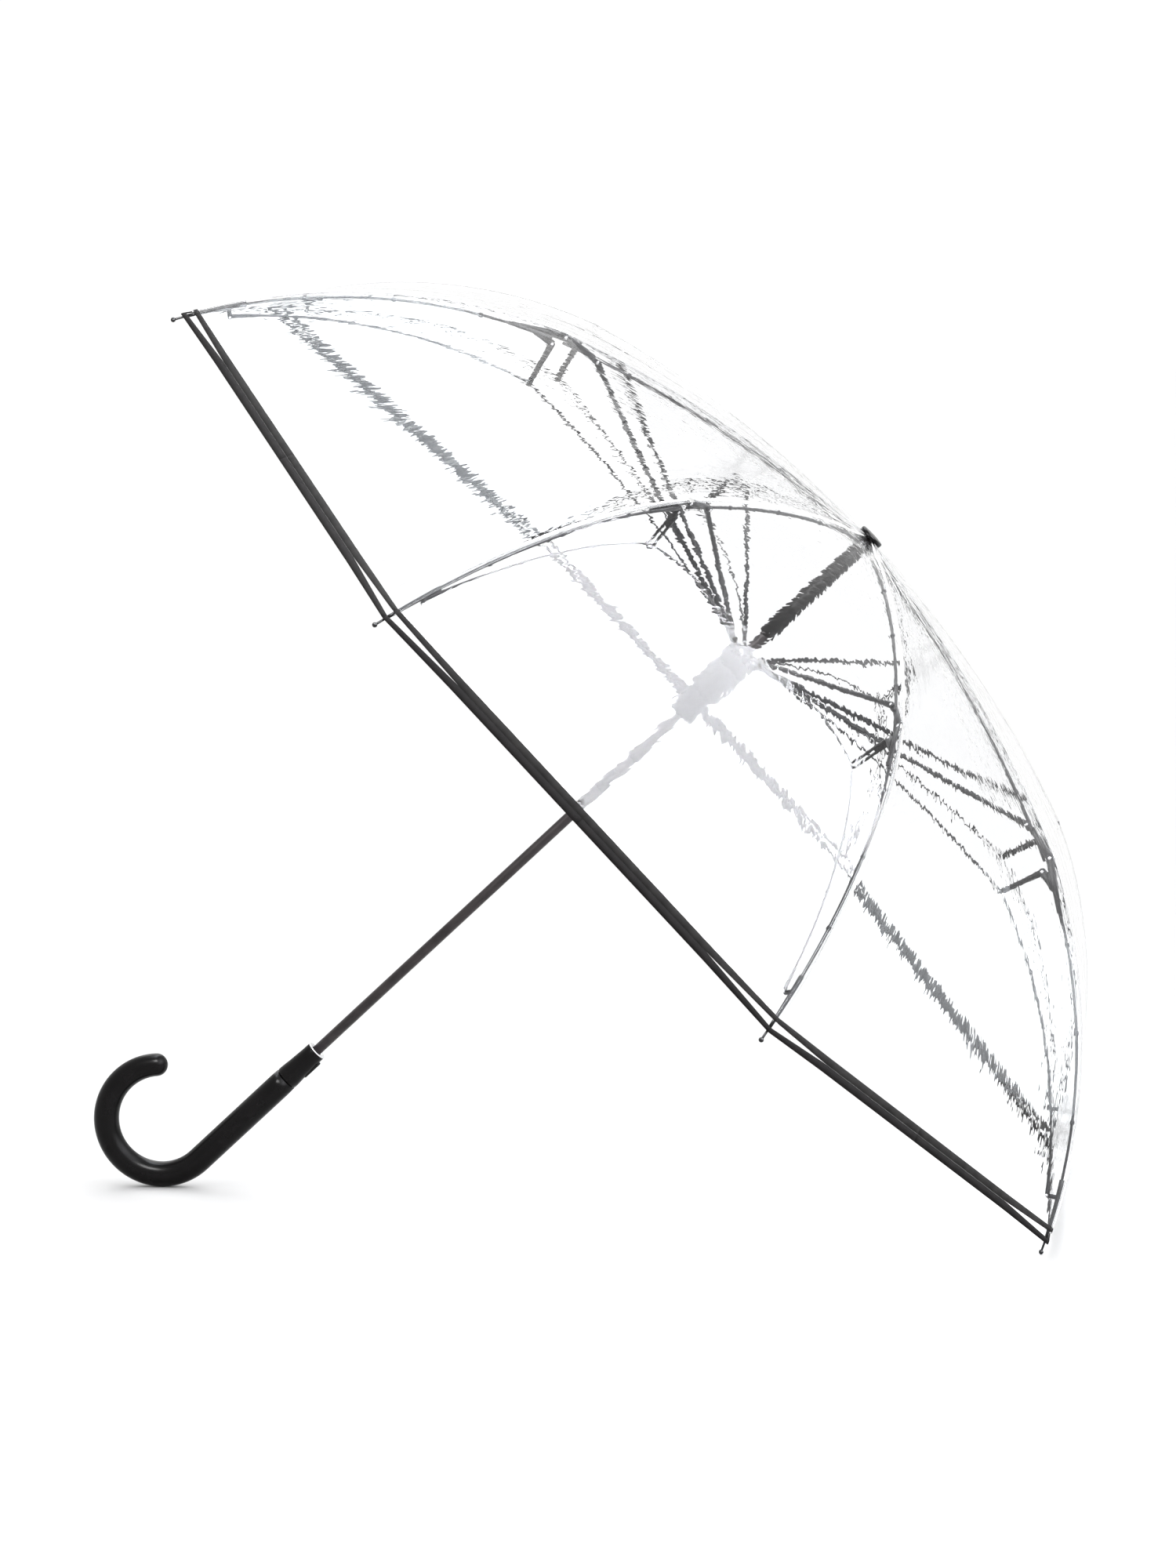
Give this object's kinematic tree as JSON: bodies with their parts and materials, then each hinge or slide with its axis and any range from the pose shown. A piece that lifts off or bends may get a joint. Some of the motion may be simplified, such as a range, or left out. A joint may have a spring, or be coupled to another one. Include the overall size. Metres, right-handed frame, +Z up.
{
  "type": "clear film umbrella",
  "caption": "Open clear-film umbrella with double ribs, bound hem, sliding runner, collar button and J hook handle, leaning at rest.",
  "frame": {"origin": "bottom centre of the bounding box, on the floor that the hook and two rib tips rest on", "axes": "+Z up, the shaft leans in the XZ plane with its handle towards -X and its crown towards +X"},
  "size_m": [0.8734, 1.0594, 0.7947],
  "materials": {
    "film": "clear film",
    "binding": "woven black tape",
    "rib_metal": "black enamel",
    "shaft_metal": "dark brown enamel",
    "black_plastic": "satin black",
    "bright_metal": "bright ring"
  },
  "bodies": {
    "root": {"shaft": "shaft_metal", "top_cap": "black_plastic", "crown_hub": "black_plastic", "spacer_sleeve": "black_plastic", "shaft_catch": "black_plastic", "collar_ring": "bright_metal", "handle_collar": "black_plastic", "handle_grip": "black_plastic", "canopy": "film", "hem": "binding"},
    "runner": {"runner": "black_plastic"},
    "release_button": {"release_button": "black_plastic"},
    "inner_rib_1": {"inner_rib_1": "rib_metal"},
    "outer_rib_1": {"outer_rib_1": "rib_metal"},
    "stretcher_1": {"stretcher_1": "rib_metal"},
    "strut_1": {"strut_1": "black_plastic"},
    "bow_wire_1": {"bow_wire_1": "rib_metal"},
    "control_wire_1": {"control_wire_1": "rib_metal"},
    "inner_rib_2": {"inner_rib_2": "rib_metal"},
    "outer_rib_2": {"outer_rib_2": "rib_metal"},
    "stretcher_2": {"stretcher_2": "rib_metal"},
    "strut_2": {"strut_2": "black_plastic"},
    "bow_wire_2": {"bow_wire_2": "rib_metal"},
    "control_wire_2": {"control_wire_2": "rib_metal"},
    "inner_rib_3": {"inner_rib_3": "rib_metal"},
    "outer_rib_3": {"outer_rib_3": "rib_metal"},
    "stretcher_3": {"stretcher_3": "rib_metal"},
    "strut_3": {"strut_3": "black_plastic"},
    "bow_wire_3": {"bow_wire_3": "rib_metal"},
    "control_wire_3": {"control_wire_3": "rib_metal"},
    "inner_rib_4": {"inner_rib_4": "rib_metal"},
    "outer_rib_4": {"outer_rib_4": "rib_metal"},
    "stretcher_4": {"stretcher_4": "rib_metal"},
    "strut_4": {"strut_4": "black_plastic"},
    "bow_wire_4": {"bow_wire_4": "rib_metal"},
    "control_wire_4": {"control_wire_4": "rib_metal"},
    "inner_rib_5": {"inner_rib_5": "rib_metal"},
    "outer_rib_5": {"outer_rib_5": "rib_metal"},
    "stretcher_5": {"stretcher_5": "rib_metal"},
    "strut_5": {"strut_5": "black_plastic"},
    "bow_wire_5": {"bow_wire_5": "rib_metal"},
    "control_wire_5": {"control_wire_5": "rib_metal"},
    "inner_rib_6": {"inner_rib_6": "rib_metal"},
    "outer_rib_6": {"outer_rib_6": "rib_metal"},
    "stretcher_6": {"stretcher_6": "rib_metal"},
    "strut_6": {"strut_6": "black_plastic"},
    "bow_wire_6": {"bow_wire_6": "rib_metal"},
    "control_wire_6": {"control_wire_6": "rib_metal"},
    "inner_rib_7": {"inner_rib_7": "rib_metal"},
    "outer_rib_7": {"outer_rib_7": "rib_metal"},
    "stretcher_7": {"stretcher_7": "rib_metal"},
    "strut_7": {"strut_7": "black_plastic"},
    "bow_wire_7": {"bow_wire_7": "rib_metal"},
    "control_wire_7": {"control_wire_7": "rib_metal"},
    "inner_rib_8": {"inner_rib_8": "rib_metal"},
    "outer_rib_8": {"outer_rib_8": "rib_metal"},
    "stretcher_8": {"stretcher_8": "rib_metal"},
    "strut_8": {"strut_8": "black_plastic"},
    "bow_wire_8": {"bow_wire_8": "rib_metal"},
    "control_wire_8": {"control_wire_8": "rib_metal"}
  },
  "joints": [
    {"name": "runner_slide", "type": "slide", "parent": "root", "child": "runner", "axis": [-0.7285, 0, -0.685], "range_m": [0, 0.433], "deforming": ["canopy", "hem"]},
    {"name": "button_press", "type": "slide", "parent": "root", "child": "release_button", "axis": [-0.685, 0, 0.7285], "range_m": [0, 0.0014], "stiffness_N_per_m": 800, "springref_m": -0.002},
    {"name": "crown_hinge_1", "type": "hinge", "parent": "root", "child": "inner_rib_1", "pos_m": [0.23775, -0.00344, 0.58195], "axis": [0.2621, -0.9239, -0.2788], "range_deg": [0, 77.86]},
    {"name": "elbow_hinge_1", "type": "hinge", "parent": "inner_rib_1", "child": "outer_rib_1", "pos_m": [-0.00282, -0.1238, 0.75458], "axis": [0.2621, -0.9239, -0.2788], "range_deg": [-192.43, 0]},
    {"name": "stretcher_hinge_1", "type": "hinge", "parent": "runner", "child": "stretcher_1", "pos_m": [0.13341, -0.00574, 0.49145], "axis": [0.2621, -0.9239, -0.2788], "range_deg": [-72.24, 0]},
    {"name": "control_hinge_1", "type": "hinge", "parent": "runner", "child": "control_wire_1", "pos_m": [0.13341, -0.00574, 0.49145], "axis": [0.2621, -0.9239, -0.2788], "range_deg": [-78.2, 0]},
    {"name": "strut_hinge_1", "type": "hinge", "parent": "outer_rib_1", "child": "strut_1", "pos_m": [-0.01424, -0.1256, 0.7498], "axis": [0.2621, -0.9239, -0.2788], "range_deg": [-58.05, 0]},
    {"name": "bow_hinge_1", "type": "hinge", "parent": "outer_rib_1", "child": "bow_wire_1", "pos_m": [-0.27404, -0.2063, 0.77297], "axis": [0.2621, -0.9239, -0.2788], "range_deg": [0, 6.22]},
    {"name": "crown_hinge_2", "type": "hinge", "parent": "root", "child": "inner_rib_2", "pos_m": [0.24108, -0.00831, 0.5784], "axis": [0.6329, -0.3827, -0.6731], "range_deg": [0, 77.86]},
    {"name": "elbow_hinge_2", "type": "hinge", "parent": "inner_rib_2", "child": "outer_rib_2", "pos_m": [0.11711, -0.29888, 0.62704], "axis": [0.6329, -0.3827, -0.6731], "range_deg": [-192.43, 0]},
    {"name": "stretcher_hinge_2", "type": "hinge", "parent": "runner", "child": "stretcher_2", "pos_m": [0.13897, -0.01386, 0.48554], "axis": [0.6329, -0.3827, -0.6731], "range_deg": [-72.24, 0]},
    {"name": "control_hinge_2", "type": "hinge", "parent": "runner", "child": "control_wire_2", "pos_m": [0.13897, -0.01386, 0.48554], "axis": [0.6329, -0.3827, -0.6731], "range_deg": [-78.2, 0]},
    {"name": "strut_hinge_2", "type": "hinge", "parent": "outer_rib_2", "child": "strut_2", "pos_m": [0.10743, -0.30322, 0.6204], "axis": [0.6329, -0.3827, -0.6731], "range_deg": [-58.05, 0]},
    {"name": "bow_hinge_2", "type": "hinge", "parent": "outer_rib_2", "child": "bow_wire_2", "pos_m": [-0.07419, -0.49806, 0.56042], "axis": [0.6329, -0.3827, -0.6731], "range_deg": [0, 6.22]},
    {"name": "crown_hinge_3", "type": "hinge", "parent": "root", "child": "inner_rib_3", "pos_m": [0.2458, -0.00831, 0.57338], "axis": [0.6329, 0.3827, -0.6731], "range_deg": [0, 77.86]},
    {"name": "elbow_hinge_3", "type": "hinge", "parent": "inner_rib_3", "child": "outer_rib_3", "pos_m": [0.28672, -0.29888, 0.44665], "axis": [0.6329, 0.3827, -0.6731], "range_deg": [-192.43, 0]},
    {"name": "stretcher_hinge_3", "type": "hinge", "parent": "runner", "child": "stretcher_3", "pos_m": [0.14683, -0.01386, 0.47718], "axis": [0.6329, 0.3827, -0.6731], "range_deg": [-72.24, 0]},
    {"name": "control_hinge_3", "type": "hinge", "parent": "runner", "child": "control_wire_3", "pos_m": [0.14683, -0.01386, 0.47718], "axis": [0.6329, 0.3827, -0.6731], "range_deg": [-78.2, 0]},
    {"name": "strut_hinge_3", "type": "hinge", "parent": "outer_rib_3", "child": "strut_3", "pos_m": [0.2795, -0.30322, 0.4374], "axis": [0.6329, 0.3827, -0.6731], "range_deg": [-58.05, 0]},
    {"name": "bow_hinge_3", "type": "hinge", "parent": "outer_rib_3", "child": "bow_wire_3", "pos_m": [0.20846, -0.49806, 0.25982], "axis": [0.6329, 0.3827, -0.6731], "range_deg": [0, 6.22]},
    {"name": "crown_hinge_4", "type": "hinge", "parent": "root", "child": "inner_rib_4", "pos_m": [0.24914, -0.00344, 0.56983], "axis": [0.2621, 0.9239, -0.2788], "range_deg": [0, 77.86]},
    {"name": "elbow_hinge_4", "type": "hinge", "parent": "inner_rib_4", "child": "outer_rib_4", "pos_m": [0.40665, -0.1238, 0.3191], "axis": [0.2621, 0.9239, -0.2788], "range_deg": [-192.43, 0]},
    {"name": "stretcher_hinge_4", "type": "hinge", "parent": "runner", "child": "stretcher_4", "pos_m": [0.1524, -0.00574, 0.47126], "axis": [0.2621, 0.9239, -0.2788], "range_deg": [-72.24, 0]},
    {"name": "control_hinge_4", "type": "hinge", "parent": "runner", "child": "control_wire_4", "pos_m": [0.1524, -0.00574, 0.47126], "axis": [0.2621, 0.9239, -0.2788], "range_deg": [-78.2, 0]},
    {"name": "strut_hinge_4", "type": "hinge", "parent": "outer_rib_4", "child": "strut_4", "pos_m": [0.40117, -0.1256, 0.30799], "axis": [0.2621, 0.9239, -0.2788], "range_deg": [-58.05, 0]},
    {"name": "bow_hinge_4", "type": "hinge", "parent": "outer_rib_4", "child": "bow_wire_4", "pos_m": [0.40831, -0.2063, 0.04726], "axis": [0.2621, 0.9239, -0.2788], "range_deg": [0, 6.22]},
    {"name": "crown_hinge_5", "type": "hinge", "parent": "root", "child": "inner_rib_5", "pos_m": [0.24914, 0.00344, 0.56983], "axis": [-0.2621, 0.9239, 0.2788], "range_deg": [0, 77.86]},
    {"name": "elbow_hinge_5", "type": "hinge", "parent": "inner_rib_5", "child": "outer_rib_5", "pos_m": [0.40665, 0.1238, 0.3191], "axis": [-0.2621, 0.9239, 0.2788], "range_deg": [-192.43, 0]},
    {"name": "stretcher_hinge_5", "type": "hinge", "parent": "runner", "child": "stretcher_5", "pos_m": [0.1524, 0.00574, 0.47126], "axis": [-0.2621, 0.9239, 0.2788], "range_deg": [-72.24, 0]},
    {"name": "control_hinge_5", "type": "hinge", "parent": "runner", "child": "control_wire_5", "pos_m": [0.1524, 0.00574, 0.47126], "axis": [-0.2621, 0.9239, 0.2788], "range_deg": [-78.2, 0]},
    {"name": "strut_hinge_5", "type": "hinge", "parent": "outer_rib_5", "child": "strut_5", "pos_m": [0.40117, 0.1256, 0.30799], "axis": [-0.2621, 0.9239, 0.2788], "range_deg": [-58.05, 0]},
    {"name": "bow_hinge_5", "type": "hinge", "parent": "outer_rib_5", "child": "bow_wire_5", "pos_m": [0.40831, 0.2063, 0.04726], "axis": [-0.2621, 0.9239, 0.2788], "range_deg": [0, 6.22]},
    {"name": "crown_hinge_6", "type": "hinge", "parent": "root", "child": "inner_rib_6", "pos_m": [0.2458, 0.00831, 0.57338], "axis": [-0.6329, 0.3827, 0.6731], "range_deg": [0, 77.86]},
    {"name": "elbow_hinge_6", "type": "hinge", "parent": "inner_rib_6", "child": "outer_rib_6", "pos_m": [0.28672, 0.29888, 0.44665], "axis": [-0.6329, 0.3827, 0.6731], "range_deg": [-192.43, 0]},
    {"name": "stretcher_hinge_6", "type": "hinge", "parent": "runner", "child": "stretcher_6", "pos_m": [0.14683, 0.01386, 0.47718], "axis": [-0.6329, 0.3827, 0.6731], "range_deg": [-72.24, 0]},
    {"name": "control_hinge_6", "type": "hinge", "parent": "runner", "child": "control_wire_6", "pos_m": [0.14683, 0.01386, 0.47718], "axis": [-0.6329, 0.3827, 0.6731], "range_deg": [-78.2, 0]},
    {"name": "strut_hinge_6", "type": "hinge", "parent": "outer_rib_6", "child": "strut_6", "pos_m": [0.2795, 0.30322, 0.4374], "axis": [-0.6329, 0.3827, 0.6731], "range_deg": [-58.05, 0]},
    {"name": "bow_hinge_6", "type": "hinge", "parent": "outer_rib_6", "child": "bow_wire_6", "pos_m": [0.20846, 0.49806, 0.25982], "axis": [-0.6329, 0.3827, 0.6731], "range_deg": [0, 6.22]},
    {"name": "crown_hinge_7", "type": "hinge", "parent": "root", "child": "inner_rib_7", "pos_m": [0.24108, 0.00831, 0.5784], "axis": [-0.6329, -0.3827, 0.6731], "range_deg": [0, 77.86]},
    {"name": "elbow_hinge_7", "type": "hinge", "parent": "inner_rib_7", "child": "outer_rib_7", "pos_m": [0.11711, 0.29888, 0.62704], "axis": [-0.6329, -0.3827, 0.6731], "range_deg": [-192.43, 0]},
    {"name": "stretcher_hinge_7", "type": "hinge", "parent": "runner", "child": "stretcher_7", "pos_m": [0.13897, 0.01386, 0.48554], "axis": [-0.6329, -0.3827, 0.6731], "range_deg": [-72.24, 0]},
    {"name": "control_hinge_7", "type": "hinge", "parent": "runner", "child": "control_wire_7", "pos_m": [0.13897, 0.01386, 0.48554], "axis": [-0.6329, -0.3827, 0.6731], "range_deg": [-78.2, 0]},
    {"name": "strut_hinge_7", "type": "hinge", "parent": "outer_rib_7", "child": "strut_7", "pos_m": [0.10743, 0.30322, 0.6204], "axis": [-0.6329, -0.3827, 0.6731], "range_deg": [-58.05, 0]},
    {"name": "bow_hinge_7", "type": "hinge", "parent": "outer_rib_7", "child": "bow_wire_7", "pos_m": [-0.07419, 0.49806, 0.56042], "axis": [-0.6329, -0.3827, 0.6731], "range_deg": [0, 6.22]},
    {"name": "crown_hinge_8", "type": "hinge", "parent": "root", "child": "inner_rib_8", "pos_m": [0.23775, 0.00344, 0.58195], "axis": [-0.2621, -0.9239, 0.2788], "range_deg": [0, 77.86]},
    {"name": "elbow_hinge_8", "type": "hinge", "parent": "inner_rib_8", "child": "outer_rib_8", "pos_m": [-0.00282, 0.1238, 0.75458], "axis": [-0.2621, -0.9239, 0.2788], "range_deg": [-192.43, 0]},
    {"name": "stretcher_hinge_8", "type": "hinge", "parent": "runner", "child": "stretcher_8", "pos_m": [0.13341, 0.00574, 0.49145], "axis": [-0.2621, -0.9239, 0.2788], "range_deg": [-72.24, 0]},
    {"name": "control_hinge_8", "type": "hinge", "parent": "runner", "child": "control_wire_8", "pos_m": [0.13341, 0.00574, 0.49145], "axis": [-0.2621, -0.9239, 0.2788], "range_deg": [-78.2, 0]},
    {"name": "strut_hinge_8", "type": "hinge", "parent": "outer_rib_8", "child": "strut_8", "pos_m": [-0.01424, 0.1256, 0.7498], "axis": [-0.2621, -0.9239, 0.2788], "range_deg": [-58.05, 0]},
    {"name": "bow_hinge_8", "type": "hinge", "parent": "outer_rib_8", "child": "bow_wire_8", "pos_m": [-0.27404, 0.2063, 0.77297], "axis": [-0.2621, -0.9239, 0.2788], "range_deg": [0, 6.22]}
  ],
  "couplings": [
    {"joint": "crown_hinge_1", "follows": "runner_slide", "rad_per_m": 3.1365},
    {"joint": "elbow_hinge_1", "follows": "runner_slide", "rad_per_m": -7.7545},
    {"joint": "stretcher_hinge_1", "follows": "runner_slide", "rad_per_m": -2.9098},
    {"joint": "control_hinge_1", "follows": "runner_slide", "rad_per_m": -3.1502},
    {"joint": "strut_hinge_1", "follows": "runner_slide", "rad_per_m": -2.3379},
    {"joint": "bow_hinge_1", "follows": "runner_slide", "rad_per_m": 0.24862},
    {"joint": "crown_hinge_2", "follows": "runner_slide", "rad_per_m": 3.1365},
    {"joint": "elbow_hinge_2", "follows": "runner_slide", "rad_per_m": -7.7545},
    {"joint": "stretcher_hinge_2", "follows": "runner_slide", "rad_per_m": -2.9098},
    {"joint": "control_hinge_2", "follows": "runner_slide", "rad_per_m": -3.1502},
    {"joint": "strut_hinge_2", "follows": "runner_slide", "rad_per_m": -2.3379},
    {"joint": "bow_hinge_2", "follows": "runner_slide", "rad_per_m": 0.24862},
    {"joint": "crown_hinge_3", "follows": "runner_slide", "rad_per_m": 3.1365},
    {"joint": "elbow_hinge_3", "follows": "runner_slide", "rad_per_m": -7.7545},
    {"joint": "stretcher_hinge_3", "follows": "runner_slide", "rad_per_m": -2.9098},
    {"joint": "control_hinge_3", "follows": "runner_slide", "rad_per_m": -3.1502},
    {"joint": "strut_hinge_3", "follows": "runner_slide", "rad_per_m": -2.3379},
    {"joint": "bow_hinge_3", "follows": "runner_slide", "rad_per_m": 0.24862},
    {"joint": "crown_hinge_4", "follows": "runner_slide", "rad_per_m": 3.1365},
    {"joint": "elbow_hinge_4", "follows": "runner_slide", "rad_per_m": -7.7545},
    {"joint": "stretcher_hinge_4", "follows": "runner_slide", "rad_per_m": -2.9098},
    {"joint": "control_hinge_4", "follows": "runner_slide", "rad_per_m": -3.1502},
    {"joint": "strut_hinge_4", "follows": "runner_slide", "rad_per_m": -2.3379},
    {"joint": "bow_hinge_4", "follows": "runner_slide", "rad_per_m": 0.24862},
    {"joint": "crown_hinge_5", "follows": "runner_slide", "rad_per_m": 3.1365},
    {"joint": "elbow_hinge_5", "follows": "runner_slide", "rad_per_m": -7.7545},
    {"joint": "stretcher_hinge_5", "follows": "runner_slide", "rad_per_m": -2.9098},
    {"joint": "control_hinge_5", "follows": "runner_slide", "rad_per_m": -3.1502},
    {"joint": "strut_hinge_5", "follows": "runner_slide", "rad_per_m": -2.3379},
    {"joint": "bow_hinge_5", "follows": "runner_slide", "rad_per_m": 0.24862},
    {"joint": "crown_hinge_6", "follows": "runner_slide", "rad_per_m": 3.1365},
    {"joint": "elbow_hinge_6", "follows": "runner_slide", "rad_per_m": -7.7545},
    {"joint": "stretcher_hinge_6", "follows": "runner_slide", "rad_per_m": -2.9098},
    {"joint": "control_hinge_6", "follows": "runner_slide", "rad_per_m": -3.1502},
    {"joint": "strut_hinge_6", "follows": "runner_slide", "rad_per_m": -2.3379},
    {"joint": "bow_hinge_6", "follows": "runner_slide", "rad_per_m": 0.24862},
    {"joint": "crown_hinge_7", "follows": "runner_slide", "rad_per_m": 3.1365},
    {"joint": "elbow_hinge_7", "follows": "runner_slide", "rad_per_m": -7.7545},
    {"joint": "stretcher_hinge_7", "follows": "runner_slide", "rad_per_m": -2.9098},
    {"joint": "control_hinge_7", "follows": "runner_slide", "rad_per_m": -3.1502},
    {"joint": "strut_hinge_7", "follows": "runner_slide", "rad_per_m": -2.3379},
    {"joint": "bow_hinge_7", "follows": "runner_slide", "rad_per_m": 0.24862},
    {"joint": "crown_hinge_8", "follows": "runner_slide", "rad_per_m": 3.1365},
    {"joint": "elbow_hinge_8", "follows": "runner_slide", "rad_per_m": -7.7545},
    {"joint": "stretcher_hinge_8", "follows": "runner_slide", "rad_per_m": -2.9098},
    {"joint": "control_hinge_8", "follows": "runner_slide", "rad_per_m": -3.1502},
    {"joint": "strut_hinge_8", "follows": "runner_slide", "rad_per_m": -2.3379},
    {"joint": "bow_hinge_8", "follows": "runner_slide", "rad_per_m": 0.24862}
  ]
}
